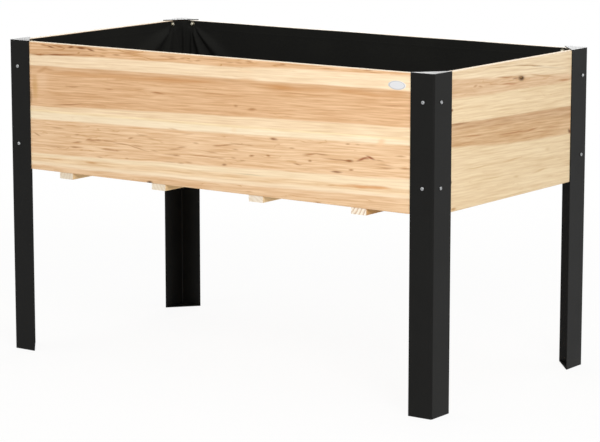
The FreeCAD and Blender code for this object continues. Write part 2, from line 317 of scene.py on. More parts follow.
def fir_panel(name, along, start, length, bands, marks, lean, upper_edge, seed=0.0):
    """Planed fir on an upright board whose grain runs along one axis, from start for length mm.
    bands: a band's upper edge, in mm below the board's top, at the start, middle and end, the softness of
    that edge in mm, the colour, the share of grain and the share of flecks. The edge through heights a, m
    and b is the parabola a + (4m - 3a - b) u + (2a + 2b - 4m) u^2, with u from 0 to 1 along the board.
    marks: for each colour, mm along, mm below the top, half length, half width, turn in degrees, share.
    upper_edge: the colour of the painted highlight on the upper edge, and how many mm it reaches down the
    face."""
    finish, put = new_finish(name)
    mm = put("VectorMath SCALE", {0: put("TexCoord", out="Object"), "Scale": 1000.0})
    axes = put("SeparateXYZ", [mm]).node.outputs
    along_mm = put("Math SUBTRACT", [axes[along], start])
    below_mm = put("Math SUBTRACT", [panel_top_mm, axes[2]])
    u = put("Math DIVIDE", [along_mm, length])
    field, grain = mm, {}
    for pattern, long, wide, detail in grain_patterns:
        sizes = [1.0 / wide] * 3
        sizes[along] = 1.0 / long
        at = put("Mapping", {"Vector": field, "Location": (seed, seed, seed), "Scale": tuple(sizes)})
        look = {"Vector": at, "Scale": 1.0, "Detail": detail, "Roughness": 0.55}
        grain[pattern] = put("TexNoise", look)
        if pattern == "bend":
            # The patterns after this one lean as the bands do and wander half as far: z plus the lean times
            # u, less half the bend.
            shift = put("Math MULTIPLY", [u, lean])
            shift = put("Math MULTIPLY_ADD", [grain["bend"], -bend_mm / 2, shift])
            field = put("VectorMath ADD", [mm, put("CombineXYZ", {2: shift})])

    # Bands: every edge wanders a few millimetres over a hand's length.
    level = put("Math MULTIPLY_ADD", [grain["bend"], bend_mm, below_mm])
    level = put("Math SUBTRACT", [level, bend_mm / 2])
    colour, grained, flecked = linear(bands[0][4]), bands[0][5], bands[0][6]
    for a, m, b, soft, shade, grain_share, fleck_share in bands[1:]:
        slope = put("Math MULTIPLY_ADD", [u, 2 * a + 2 * b - 4 * m, 4 * m - 3 * a - b])
        edge = put("Math MULTIPLY_ADD", [u, slope, a])
        past = put("Math SUBTRACT", [level, edge])
        inside = put("MapRange SMOOTHSTEP", [past, -soft / 2, soft / 2])
        colour = put("Mix RGBA", {0: inside, 6: colour, 7: linear(shade)})
        grained = put("Mix FLOAT", {0: inside, 2: grained, 3: grain_share})
        flecked = put("Mix FLOAT", {0: inside, 2: flecked, 3: fleck_share})

    # Growth lines: mm below the leaning grain over the ring width, bent by the swirl, darkest at their end.
    rise = put("Math MULTIPLY_ADD", [u, -lean, level])
    shown = {}
    for figure, width, swirls, dark_from in growth_figures:
        rings = put("Math MULTIPLY", [rise, 1 / width])
        rings = put("Math MULTIPLY_ADD", [grain["swirl"], swirls, rings])
        rings = put("Math FRACT", [rings])
        shown[figure] = put("MapRange SMOOTHSTEP", [rings, dark_from, darkest_at])
    tone = put("Math MULTIPLY", [grain["fibre"], fibre_share])
    tone = put("Math MULTIPLY_ADD", [grain["streak"], streak_share, tone])
    tone = put("Math MULTIPLY_ADD", [shown["lines"], line_share, tone])
    tone = put("MapRange", [tone, *tone_range])
    depth = put("Math MULTIPLY", [tone, grained])
    colour = put("Mix RGBA", {0: depth, 6: colour, 7: linear(late_wood)}, blend_type="MULTIPLY")
    broken = put("MapRange SMOOTHSTEP", [grain["dash"], *dash_range])
    arc = put("Math MULTIPLY", [shown["arcs"], broken])
    arc = put("Math MULTIPLY", [arc, flecked])
    colour = put("Mix RGBA", {0: arc, 6: colour, 7: linear(fleck_brown)})

    # Marks with a place of their own, each a soft ellipse on the board's face. The turn is a shear, which
    # marks with the same turn share: across = mm below the top, wriggled, less tan(turn) times mm along.
    wriggle = put("Math MULTIPLY_ADD", [grain["wriggle"], wriggle_mm, below_mm])
    wriggle = put("Math SUBTRACT", [wriggle, wriggle_mm / 2])
    shear_turn = None
    rows = [(*spot, shade) for shade, spots in marks.items() for spot in spots]
    rows.sort(key=lambda row: row[4])
    for mark_along, mark_below, half_long, half_wide, turn, strength, shade in rows:
        if turn != shear_turn:
            shear_turn = turn
            shear = math.tan(math.radians(turn))
            across = put("Math MULTIPLY_ADD", [along_mm, -shear, wriggle])
            flat = put("CombineXYZ", [along_mm, across])
        stretch = (1 / half_long, 1 / half_wide, 0.0)
        offset = (-mark_along / half_long, (shear * mark_along - mark_below) / half_wide, 0.0)
        local = put("VectorMath MULTIPLY_ADD", [flat, stretch, offset])
        reach = put("VectorMath LENGTH", [local])
        inside = put("MapRange SMOOTHSTEP", [reach, mark_core, 1.0, strength, 0.0])
        colour = put("Mix RGBA", {0: inside, 6: colour, 7: linear(shade)})

    # The upper edge and the top face get a painted highlight: they are painted paler, fading out a little way
    # down the face.
    edge_colour, edge_reach = upper_edge
    top_highlight = put("MapRange", [below_mm, highlight_from_mm, edge_reach, highlight_share, 0.0])
    colour = put("Mix RGBA", {0: top_highlight, 6: colour, 7: linear(edge_colour)})

    # Planed softwood: matt, with the hard late wood standing a hair proud and slightly smoother.
    matt = put("MapRange", [depth, 0.0, 1.0, *wood_roughness])
    matt = put("Mix FLOAT", {0: top_highlight, 2: matt, 3: top_edge_roughness})
    ridge = put("Bump", {"Height": depth, "Strength": 0.25, "Distance": 0.0003})
    wood = {"Base Color": colour, "Roughness": matt, "IOR": 1.5, "Specular IOR Level": 0.3, "Normal": ridge}
    put("OutputMaterial", {"Surface": put("BsdfPrincipled", wood)})
    print(name, "with", len(bands), "bands and", len(rows), "marks")
    return finish


# %% [markdown]
# # The front panel's figure
# From the top: a flecked strip of heart, a cream band, a broad plain band of heart with a darker streak
# just under its upper edge, a cream band in two tones, a flecked band, a narrow cream band with a tan
# streak in it and a last strip of heart. All of them lean up towards the right by about a tenth of the
# panel's height. The numbers are millimetres below the panel's top, read off the picture.

# %% Front panel
front_start_mm = -540.0
front_length_mm = 1080.0
# Painted highlight for the upper edges of the front and the right end: cream.
near_edge_highlight = ("#E6D3B8", 1.1)
brown = "#9C5B0C"
deep_brown = "#7C4000"
red_brown = "#8C3A00"
faint = "#B87F44"
edge_tan = "#C98F55"

front_bands = [
    (0, 0, 0, 0, "#F2CBA1", 0.9, 0.8),
    (29, 18.5, 6, 5, "#FFE8C6", 0.5, 0.1),
    (57, 46, 39, 4, "#E7C097", 0.7, 0),
    (69, 58, 52, 14, "#EDC59B", 0.8, 0.15),
    (153, 132, 117, 5, "#FCE3BF", 0.55, 0),
    (160, 152, 139, 5, "#FFE9C0", 0.6, 0),
    (165, 157, 144, 5, "#FFEDCD", 0.35, 0.1),
    (183, 172, 155, 7, "#F6D4AD", 0.8, 0.35),
    (266, 249, 230, 6, "#FCE7C5", 0.4, 0),
    (271, 262, 250, 6, "#F8DCB5", 0.7, 0.1),
    (285, 275, 263, 6, "#FDE7C7", 0.4, 0),
    (293, 284, 271, 6, "#F0CEA7", 0.7, 0.4),
]
front_marks = {
    brown: [
        (46, 6, 18, 2.8, 2, 0.75), (97, 7, 16, 2.8, 0, 0.75), (225, 6, 24, 2.8, 2, 0.65),
        (267, 14, 18, 2.8, 0, 0.6), (30, 29, 42, 3.6, -2, 0.9), (104, 25, 72, 3.4, -3, 0.92),
        (180, 21, 48, 2.8, -3, 0.65), (300, 8, 34, 2.5, -2, 0.37), (405, 8, 20, 2.8, -4, 0.52),
        (432, 12, 17, 2.6, -4, 0.48), (462, 10, 13, 2.6, 0, 0.44), (482, 14, 16, 2.3, 2, 0.33),
        (540, 6, 45, 2.3, -2, 0.33), (620, 9, 16, 2.5, 0, 0.37), (647, 5, 13, 2.6, 0, 0.48),
        (735, 6, 25, 2.5, 0, 0.48), (865, 6, 31, 2.5, -2, 0.44), (985, 6, 29, 2.3, 0, 0.37),
        (133, 98, 31, 2.6, -2, 0.55), (243, 96, 20, 2.5, -2, 0.48), (388, 94, 31, 3.5, 1, 0.67),
        (612, 106, 9, 3.9, 0, 0.48), (657, 111, 18, 4.8, -6, 0.55), (120, 141, 69, 3.2, -6, 0.59),
        (1040, 73, 49, 2.5, -4, 0.52), (20, 219, 15, 3, 18, 0.59), (80, 198, 27, 2.5, 0, 0.37),
        (145, 210, 13, 2.6, -5, 0.48), (144, 228, 22, 3.2, -6, 0.64), (192, 220, 25, 3.9, -5, 0.6),
        (236, 217, 34, 2.5, 0, 0.42), (277, 220, 36, 2.5, 3, 0.59), (322, 225, 49, 2.3, 9, 0.55),
        (135, 240, 19, 3.3, -4, 0.58), (76, 244, 63, 2.3, 1, 0.37), (253, 238, 38, 3.3, -2, 0.58),
        (307, 205, 12, 3.3, -12, 0.63), (213, 257, 15, 2.6, 0, 0.37), (295, 253, 9, 2.6, 0, 0.44),
        (377, 228, 16, 2.5, 4, 0.37), (366, 200, 18, 2.3, 0, 0.33), (436, 220, 27, 2.8, -7, 0.44),
        (457, 213, 22, 2.6, -8, 0.55), (498, 200, 13, 2.5, -2, 0.44), (442, 233, 16, 2.8, -2, 0.55),
        (515, 228, 49, 2.5, 0, 0.55), (568, 228, 18, 2.5, -3, 0.44), (542, 217, 25, 2.6, 0, 0.55),
        (455, 250, 16, 2.5, -4, 0.44), (580, 198, 40, 2.6, -9, 0.63), (618, 192, 38, 2.5, -1, 0.52),
        (650, 192, 16, 2.3, 0, 0.37), (611, 205, 13, 2.6, 2, 0.44), (656, 215, 11, 3.3, -6, 0.74),
        (702, 211, 9, 3.5, 2, 0.7), (605, 224, 11, 3, 4, 0.37), (630, 228, 13, 2.5, 0, 0.37),
        (767, 188, 12, 2.8, -2, 0.52), (782, 223, 16, 3.2, 3, 0.67), (816, 212, 8, 3.7, 0, 0.7),
        (812, 198, 25, 2.6, -9, 0.55), (846, 195, 29, 2.5, 1, 0.55), (878, 203, 40, 2.5, 1, 0.55),
        (1000, 195, 18, 2.5, 4, 0.48), (926, 222, 10, 2.8, -4, 0.8), (917, 166, 9, 2.8, -4, 0.59),
        (943, 165, 10, 2.5, 0, 0.37), (1012, 204, 34, 2.3, 1, 0.44), (1015, 210, 34, 2.5, -3, 0.59),
        (1066, 207, 20, 2.5, -2, 0.63), (1055, 181, 20, 2.8, -3, 0.48), (648, 296, 16, 2.8, 0, 0.33),
        (838, 303, 13, 3.2, 0, 0.7), (168, 3.5, 50, 2.8, 1, 0.65), (80, 4.5, 28, 2.2, 3, 0.6),
        (425, 8.5, 22, 3.4, -4, 0.5), (311, 2, 28, 2.2, -1, 0.5), (969, 2.5, 22, 2.2, -3, 0.6),
        (653, 4.5, 14, 3, 9, 0.45), (225, 20, 15, 3, 0, 0.45), (597, 9.5, 18, 2.4, -1, 0.45),
        (505, 11.5, 13, 3, -6, 0.4), (743, 4, 13, 2.2, 0, 0.6), (912, 203, 34, 2.6, 0, 0.65),
        (818, 198.5, 28, 3, -14, 0.5), (234, 236.5, 26, 3, -6, 0.55), (425, 233, 36, 2.6, -4, 0.45),
        (424, 249.5, 36, 2.6, -2, 0.4), (180, 218.5, 14, 4, -14, 0.55), (326, 221, 26, 2.6, 2, 0.5),
        (88, 200, 28, 2.4, 0, 0.4), (550, 228, 24, 2.8, -7, 0.4), (339, 195, 26, 2.4, -2, 0.45),
        (148, 239.5, 22, 2.6, -4, 0.45), (210, 218, 14, 3.2, 3, 0.5), (476, 246, 18, 2.8, -1, 0.4),
        (476, 181, 28, 2.2, -3, 0.4), (557, 200.5, 18, 2.2, -2, 0.55), (120, 12, 125, 23, -2, 0.22),
    ],
    deep_brown: [
        (66, 8, 18, 3, 10, 0.85), (130, 5, 14, 3.4, -6, 0.95), (161, 5.5, 22, 3.6, 3, 1),
        (190, 8, 17, 3.4, 10, 0.95), (718, 172, 16, 4.4, 3, 0.66), (579, 242, 10, 3.3, -3, 0.64),
        (921, 202.5, 15, 4.2, -2, 0.84), (888, 230, 20, 4, -2, 0.68), (79, 25.5, 36, 3.4, -2, 0.6),
        (886, 229.5, 24, 2.4, -4, 0.46), (714, 172.5, 8, 3.4, 3, 0.5),
    ],
    "#F3CDA0": [(640, 27, 40, 5, 0, 0.35)],
    "#E2B281": [(640, 45, 46, 8, -2, 0.45)],
    faint: [
        (335, 90, 24, 2.6, -2, 0.45), (553, 84, 56, 2.6, -1, 0.7), (300, 124, 90, 2.6, -3, 0.45),
        (462, 117, 40, 2.6, -3, 0.5), (800, 66, 120, 2.6, 1, 0.45), (870, 96, 90, 2.6, -3, 0.4),
        (700, 60, 90, 2.6, 1, 0.4), (250, 80, 80, 2.6, -1, 0.35), (268, 200, 44, 2.6, -1, 0.55),
        (38, 65, 26, 8, -24, 0.5), (60, 62, 24, 3, 4, 0.45), (433, 173, 20, 2.8, 4, 0.4),
        (474, 127, 60, 2.4, 1, 0.4), (302, 132, 58, 2.2, -2, 0.4), (752, 118.5, 30, 2.2, -4, 0.4),
        (950, 112.5, 24, 2.6, -4, 0.4),
    ],
    red_brown: [
        (954, 196, 20, 4.2, -20, 0.8), (977, 191, 17, 4, 16, 0.92), (966, 193, 15, 4, -4, 0.6),
    ],
    "#F5CFA4": [(1005, 153, 15, 10, -14, 0.85)],
    "#F3CB9F": [(1001, 161, 20, 9, -14, 0.55)],
    "#F6D6AA": [(607, 161, 12, 9, 0, 0.4)],
    "#D2935A": [(956, 256, 70, 5.6, -1, 0.8), (998, 253.5, 48, 6, -1, 0.7)],
    "#DBA36B": [(1006, 254, 36, 4.2, -1, 0.5), (903, 259, 36, 3.8, -1, 0.5)],
    "#C68E55": [(187, 273, 28, 4, -1, 0.7), (873, 260.5, 20, 3, -6, 0.5)],
    "#CB965F": [(72, 275, 46, 3.2, 0, 0.5)],
    "#B9A27C": [(655, 258, 66, 2.4, 0, 0.4)],
    "#43250E": [(362, 303, 13, 6, -3, 1)],
    # Near the left leg: a pinkish patch, a yellowish-brown band, and along the very edge a dark strip that is
    # painted shadow from the leg.
    "#F3CFA9": [(36, 90, 32, 34, 0, 0.4)],
    "#CE9F5F": [(16, 108, 13, 46, 0, 0.6)],
    "#7A5A33": [(1, 130, 8, 30, 0, 0.6)],
    edge_tan: [
        (55, 66, 50, 9, 0, 0.15), (140, 67.5, 100, 9.5, -2, 0.5), (230, 65.5, 110, 9.5, -2, 0.5),
        (325, 63.5, 110, 9, -1, 0.46), (420, 61, 100, 9, -2, 0.72), (500, 58.5, 95, 9, -2, 0.58),
        (575, 57.5, 70, 8, -1, 0.24), (665, 54.5, 50, 7.5, 0, 0.18), (740, 56, 75, 10, 0, 0.82),
        (825, 54, 75, 10, -2, 0.44), (915, 51, 75, 9, -1, 0.64), (980, 54, 50, 9, 1, 0.48),
        (1040, 47.5, 55, 9.5, -4, 0.44),
    ],
}
front_fir = fir_panel("planed_fir_front", 0, front_start_mm, front_length_mm, front_bands, front_marks,
                      lean=-33, upper_edge=near_edge_highlight)
dress(front_fir, "front_panel")

# %% [markdown]
# # The other three panels
# The right end shows in the picture: cream above, a pale heart strip with one dark knot, cream again,
# a sharp edged darker strip, and a wide yellowish board below it. The back and the left end don't show.
# They are given boards of the same timber with bands of their own.

# %% End and back panels
end_start_mm = -255.0
end_length_mm = 510.0
# Painted highlights on the upper edges of the left end and the back, paler than the front's; the back's is
# near white and reaches further down its face.
left_edge_highlight = ("#F3E9D8", 1.1)
back_edge_highlight = ("#FFFBF4", 2.2)
knot_rim = "#B9854F"
knot_heart = "#422600"

right_bands = [
    (0, 0, 0, 0, "#F3DFBE", 0.6, 0.1),
    (14, 35, 53, 9, "#E5C6A2", 0.7, 0.3),
    (59, 65, 69, 6, "#F1DBB6", 0.55, 0.1),
    (113, 120, 127, 3, "#D5B38D", 0.8, 0.1),
    (128, 138, 150, 16, "#DEBD95", 0.9, 0.2),
    (163, 181, 190, 8, "#EED8B3", 0.5, 0.12),
]
right_marks = {
    knot_rim: [(286, 41, 40, 13, 5, 0.45)],
    knot_heart: [(288, 41.5, 19, 8.4, 5, 1), (291, 41.5, 11, 5.5, 5, 0.95)],
    "#A0763F": [(287, 40, 7.5, 3.2, 5, 0.85)],
    "#7E5430": [(264, 40, 18, 3, 2, 0.7)],
    "#A9713F": [(225, 33, 56, 2.8, 5, 0.85)],
    "#B0703E": [(228, 48, 44, 3, 2, 0.72), (255, 51, 34, 2.8, 1, 0.62)],
    "#FBEFD5": [(400, 27, 120, 3.6, 6, 0.6)],
    "#B98555": [(170, 44, 50, 2.6, 3, 0.55)],
    "#B07844": [(97, 40, 12, 4, -5, 0.6), (117, 43, 14, 3, 8, 0.55)],
    "#B98A5C": [(395, 47, 66, 3, 7, 0.65), (352, 40, 40, 2.8, 6, 0.6)],
    "#BC8658": [(480, 64, 38, 4, 4, 0.85)],
    "#A87E4C": [(300, 14, 64, 2.8, 6, 0.72), (350, 20, 54, 2.6, 6, 0.72)],
    "#AD8454": [(200, 8, 70, 2.6, 4, 0.45)],
    "#BE9868": [(420, 30, 70, 2.4, 6, 0.45)],
    deep_brown: [(3, 83, 9, 5, 0, 0.9)],
    "#4E2A10": [(1.5, 239, 7, 7, 0, 0.95)],
    "#6E3E1E": [(506, 185, 11, 8, 20, 0.9)],
    "#A9763C": [(13, 298, 16, 4.6, 0, 0.75)],
    "#8F6238": [(30, 115, 50, 3.4, 2, 0.7)],
    "#AC7442": [
        (92, 148, 66, 3, 4, 0.75), (262, 160, 96, 3, 2, 0.8), (338, 162, 40, 2.8, -4, 0.7),
        (200, 136, 90, 2.6, 3, 0.5), (420, 165, 60, 2.6, 3, 0.5),
    ],
    "#C0965F": [(110, 219, 84, 2.6, 1, 0.48)],
    "#BC8C54": [(262, 220, 66, 3, 0, 0.5)],
    "#C29B62": [(408, 215, 16, 5, 0, 0.32), (272, 260, 18, 4.8, 4, 0.36)],
    "#BE945A": [(376, 260, 44, 4, -3, 0.45)],
    "#C9A672": [(150, 250, 110, 2.4, 1, 0.4), (255, 300, 230, 2.6, 0, 0.35)],
}
left_bands = [
    (0, 0, 0, 0, "#EBC79C", 0.8, 0.3),
    (49, 41, 30, 5, "#F7E3BC", 0.5, 0.1),
    (112, 107, 100, 3, "#E4BB8E", 0.9, 0.5),
    (188, 186, 182, 6, "#F4DFB5", 0.6, 0.1),
    (252, 242, 234, 5, "#E9C298", 0.8, 0.3),
]
left_marks = {
    knot_rim: [(180, 150, 30, 12, 0, 0.45)],
    knot_heart: [(180, 150, 13, 8, 0, 0.9)],
    "#A98258": [(182, 150, 4, 2.6, 0, 0.5)],
    brown: [(400, 44, 44, 2.8, 4, 0.6), (90, 262, 24, 3.2, -4, 0.65), (330, 128, 60, 2.6, -3, 0.55)],
    faint: [(250, 210, 90, 2.2, -2, 0.4), (60, 20, 50, 2.4, -4, 0.45)],
}
back_bands = [
    (0, 0, 0, 0, "#FAE5BF", 0.5, 0.1),
    (30, 45, 55, 6, "#EBC396", 0.8, 0.7),
    (103, 113, 125, 4, "#FCE8C4", 0.5, 0.1),
    (131, 147, 158, 4, "#E8BE91", 0.9, 0.15),
    (213, 227, 237, 5, "#FAE4BC", 0.5, 0),
    (243, 260, 274, 5, "#EDC69A", 0.8, 0.6),
]
back_marks = {
    brown: [
        (300, 66, 30, 3.2, 5, 0.7), (720, 82, 22, 3.4, 3, 0.75), (420, 92, 60, 2.4, 4, 0.55),
        (480, 284, 34, 3, 4, 0.65), (920, 292, 26, 3, 2, 0.6),
    ],
    deep_brown: [(560, 70, 16, 3.4, -6, 0.8)],
    knot_rim: [(860, 178, 30, 12, 0, 0.45)],
    knot_heart: [(860, 178, 12, 7, 0, 0.9)],
    faint: [(150, 176, 110, 2.4, 2, 0.45)],
}
for node, axis, start, run, bands, marks, lean, edge, seed in (
    ("right_end_panel", 1, end_start_mm, end_length_mm, right_bands, right_marks, 18.0, near_edge_highlight, 31.1),
    ("left_end_panel", 1, end_start_mm, end_length_mm, left_bands, left_marks, -15.0, left_edge_highlight, 90.7),
    ("back_panel", 0, front_start_mm, front_length_mm, back_bands, back_marks, 26.0, back_edge_highlight, 154.3),
):
    dress(fir_panel("planed_fir_" + node, axis, start, run, bands, marks, lean, edge, seed), node)

# %% [markdown]
# # Slats and floor boards
# Four slats carry the floor, and their sawn ends show under the front panel. A sawn end cuts across the
# growth rings, so the pattern has to be solid: rings around a pith that lies outside the slat, the
# same pattern on every face. Each slat was cut from another place in the trunk, so each has a pith and
# a contrast of its own. The boards above run the other way. They stand at an even pitch, so one finish
# serves all five, with the distance from the nearest board's middle wrapped at that pitch.

# %% Slat and board finish
slat_pitch_mm = 279.0
first_slat_mm = -432.0
slat_middle_z_mm = 436.5
board_pitch_mm = 123.8
board_middle_z_mm = 450.0
ring_mm = 8.5
wander_across_mm, wander_along_mm, wander_rings = 14.0, 220.0, 0.7
late_brown = "#B08058"
sawn_roughness = (0.72, 0.62)


def solid_fir(name, along, pitch, first, middle_z, pith, pale, tan, side, contrast, seed):
    """Fir with rings in the solid: the ring number is the distance from the pith, in the plane across the
    grain, over the ring width, moved by a noise that is stretched along the grain."""
    finish, put = new_finish(name)
    mm = put("VectorMath SCALE", {0: put("TexCoord", out="Object"), "Scale": 1000.0})
    axes = put("SeparateXYZ", [mm]).node.outputs
    sideways = put("Math SUBTRACT", [axes[1 - along], first])
    sideways = put("Math WRAP", [sideways, pitch / 2, -pitch / 2])
    sideways = put("Math SUBTRACT", [sideways, pith[0]])
    upward = put("Math SUBTRACT", [axes[2], middle_z + pith[1]])
    radius = put("VectorMath LENGTH", [put("CombineXYZ", [sideways, upward])])
    sizes = [1 / wander_across_mm] * 3
    sizes[along] = 1 / wander_along_mm
    wander_at = put("Mapping", {"Vector": mm, "Scale": tuple(sizes), "Location": (seed, seed, 0)})
    wander = put("TexNoise", {"Vector": wander_at, "Scale": 1.0, "Detail": 3.0, "Roughness": 0.55})
    rings = put("Math MULTIPLY", [radius, 1 / ring_mm])
    rings = put("Math MULTIPLY_ADD", [wander, wander_rings, rings])
    rings = put("Math FRACT", [rings])
    late = put("MapRange SMOOTHSTEP", [rings, 0.35, 0.95])
    broad = put("MapRange", [wander, 0.35, 0.65, 0.0, 0.6])
    colour = put("Mix RGBA", {0: broad, 6: linear(pale), 7: linear(tan)})
    facing = put("SeparateXYZ", [put("NewGeometry", out="Normal")]).node.outputs[along]
    sawn_end = put("Math GREATER_THAN", [put("Math ABSOLUTE", [facing]), 0.7])
    colour = put("Mix RGBA", {0: sawn_end, 6: linear(side), 7: colour})
    late_share = put("Math MULTIPLY", [late, contrast])
    colour = put("Mix RGBA", {0: late_share, 6: colour, 7: linear(late_brown)})
    matt = put("MapRange", [late, 0.0, 1.0, *sawn_roughness])
    ridge = put("Bump", {"Height": late, "Strength": 0.3, "Distance": 0.0003})
    wood = {"Base Color": colour, "Roughness": matt, "IOR": 1.5, "Specular IOR Level": 0.3, "Normal": ridge}
    put("OutputMaterial", {"Surface": put("BsdfPrincipled", wood)})
    return finish


# For each slat: the pith beside and above its middle in mm, two tones of the sawn end, the tone of the
# sides, and the contrast of the rings.
slat_cuts = (
    ((-74.0, 26.0), "#EFE4D2", "#E0CFB4", "#E2C89C", 0.16),
    ((66.0, 41.0), "#F1E6D3", "#E4D3B6", "#E2C799", 0.18),
    ((-35.0, -62.0), "#F1E6D5", "#E6D5BB", "#E6CDA3", 0.14),
    # The fourth slat's sides are painted darker: painted shade from the front panel above them.
    ((-58.0, 34.0), "#FCF3E6", "#F3E2C6", "#CFA56E", 0.55),
)
for number, (pith, pale, tan, side, contrast) in enumerate(slat_cuts):
    middle_x = first_slat_mm + slat_pitch_mm * number
    node = f"cross_slat_{number + 1}"
    slat_fir = solid_fir("sawn_fir_" + node, 1, slat_pitch_mm, middle_x, slat_middle_z_mm, pith, pale, tan,
                         side, contrast, 3.0 + number)
    dress(slat_fir, node)
boards = [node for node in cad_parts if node.startswith("floor_board")]
board_fir = solid_fir("sawn_fir_floor_board", 0, board_pitch_mm, 0.0, board_middle_z_mm, (20.0, -70.0),
                      "#EDD5AB", "#DDB585", "#E4C595", 0.55, 8.0)
dress(board_fir, *boards)
print("sawn fir on slats and floor boards")

# %% [markdown]
# # The felt liner
# The bed is lined with a bag of black felt: polypropylene fibres pressed together between a plain and
# a dotted roller. It hangs from eight eyelets, two at each corner, so between a pair the cloth cuts
# across the corner, and under each eyelet it falls in folds that spread out and fade. A cloth
# simulation could do this too, but the folds in the picture have known places, so the bag is worked
# out: a rounded rectangle for the outline, a wall that turns into a floor, and inward folds added to it.

# %% Bag outline
bag_half_x = 0.58105
bag_half_y = 0.30605
bag_corner = 0.02725
bag_top = 0.7475
bag_floor = 0.45675
bag_bend = 0.022
cloth_thickness = 0.0015
eyelet_from_corner = 0.0304
eyelet_below_hem = 0.009
corner_points = 33


def bag_trace():
    """Rounded rectangle, anticlockwise from the middle of the front: quarter circles joined by straights."""
    corners = []
    for sign_x, sign_y, begin in ((1, -1, -90), (1, 1, 0), (-1, 1, 90), (-1, -1, 180)):
        turn = np.radians(np.linspace(begin, begin + 90, corner_points))
        centre = np.array([sign_x * (bag_half_x - bag_corner), sign_y * (bag_half_y - bag_corner)])
        corners.append(centre + bag_corner * np.stack([np.cos(turn), np.sin(turn)], -1))
    start = np.array([[0.0, -bag_half_y]])
    return np.concatenate([start, *corners, start])


trace = bag_trace()
trace_run = np.concatenate([[0.0], np.cumsum(np.linalg.norm(np.diff(trace, axis=0), axis=1))])
girth = trace_run[-1]
corner_run = trace_run[1 + corner_points // 2 + corner_points * np.arange(4)]

# The grid is finest near the corners, where the folds are.
fine_reaches = (-0.19, -0.095, 0.095, 0.19)
edges = [0.0, *np.sort(np.concatenate([corner_run + reach for reach in fine_reaches])), girth]
steps_mm = [20.0, 5.0, 2.0, 5.0] * 4 + [20.0]
runs = [np.linspace(a, b, max(2, round((b - a) * 1000 / step)), endpoint=False)
        for a, b, step in zip(edges[:-1], edges[1:], steps_mm)]
around = np.append(np.concatenate(runs), girth)
wall_height = bag_top - bag_floor
down = np.concatenate([
    np.linspace(0.0, 0.030, 13),
    np.linspace(0.030, 0.120, 21)[1:],
    np.linspace(0.120, wall_height - bag_bend, 16)[1:],
    wall_height - bag_bend + np.linspace(0.0, bag_bend * math.pi / 2, 8)[1:],
])
print("bag girth", round(girth, 3), "m,", len(around), "columns,", len(down), "wall rows")

# %% [markdown]
# # Folds of the liner
# Each fold is a ridge that starts at an eyelet and runs down the wall at a bearing of its own, away
# from the corner or towards it. A ridge is a bell curve across the bearing, so it widens as it goes, and
# it swells to its full depth a hand's width below the eyelet. Every ridge stands inwards only, because
# the panel is right behind the cloth.

# %% Bag folds
# Bearing from straight down, away from the corner, in radians, spread in radians and depth in metres.
long_wall_fan = ((0.06, 0.08, 0.009), (0.47, 0.13, 0.016), (0.82, 0.12, 0.014))
end_wall_fan = ((-0.16, 0.10, 0.009), (0.35, 0.16, 0.006), (1.04, 0.17, 0.017))
# Upright ridges: place along the hem from the corner towards the long wall, spread and depth, in metres.
corner_ridges = ((0.008, 0.008, 0.012),)
full_depth_reach = 0.075
chord_depth, chord_reach, chord_fade = 0.011, 0.026, 0.12
held_reach = 0.011
wave_depth = 0.0009
hem_depth, hem_thick = 0.022, 0.0004
sag_depth, sag_fade = 0.00008, 0.15
phase_range = 6.3

rng = np.random.default_rng(41)
s, w = np.meshgrid(around, down)
x = np.interp(around, trace_run, trace[:, 0])
y = np.interp(around, trace_run, trace[:, 1])
slope_x = np.interp(around, trace_run, np.gradient(trace[:, 0], trace_run))
slope_y = np.interp(around, trace_run, np.gradient(trace[:, 1], trace_run))
size = np.hypot(slope_x, slope_y)
outward = np.stack([slope_y / size, -slope_x / size], -1)

inward = np.zeros_like(s)
held_flat = np.ones_like(s)
mid_wall = np.sin(np.pi * np.clip(w / wall_height, 0, 1))
for number, corner in enumerate(corner_run):
    from_corner = (s - corner + girth / 2) % girth - girth / 2
    to_long_wall = from_corner if number % 2 else -from_corner
    # Between its two eyelets the hem is a chord: a hump towards the middle that fades down the wall.
    inward += chord_depth * np.exp(-(from_corner / chord_reach) ** 2) * np.exp(-w / chord_fade)
    # Lower down, upright ridges share out the slack of the corner.
    growth = (1 - np.exp(-w / 0.03)) * np.clip(1 - w / wall_height, 0, 1)
    for ridge_at, spread, depth in corner_ridges:
        inward += depth * growth * np.exp(-((to_long_wall - ridge_at) / spread) ** 2)
    for side, fold_fan in ((1, long_wall_fan), (-1, end_wall_fan)):
        away = side * to_long_wall - eyelet_from_corner
        under = w - eyelet_below_hem
        reach = np.hypot(away, under)
        bearing = np.arctan2(away, np.maximum(under, 0.0) + 0.004)
        part = reach / full_depth_reach
        swell = part * np.exp(1 - part) * np.clip(under / 0.02, 0, 1)
        for aim, spread, depth in fold_fan:
            aim = aim + rng.normal(0, 0.02)
            depth = depth * rng.uniform(0.85, 1.15)
            inward += depth * swell * np.exp(-((bearing - aim) / spread) ** 2)
        held_flat *= 1 - np.exp(-(reach / held_reach) ** 4)
# Slow waves along the walls, none at the hem and none where the wall meets the floor.
for wave in range(9):
    length = rng.uniform(0.16, 0.55)
    tilt = rng.uniform(-2.0, 2.0)
    fitted = girth / round(girth / length)
    bulge = 0.5 + 0.5 * np.sin(2 * np.pi * (s + tilt * w) / fitted + rng.uniform(0, phase_range))
    inward += wave_depth * bulge * mid_wall
# The hem is turned over once, so its upper 22 mm stand a little further in.
inward += hem_thick * (1 - np.clip((w - hem_depth + 0.004) / 0.008, 0, 1))
inward *= held_flat
sag = np.zeros_like(around)
for wave in range(6):
    turns = rng.integers(3, 14)
    sag += sag_depth * (1 + np.sin(2 * np.pi * turns * around / girth + rng.uniform(0, phase_range)))

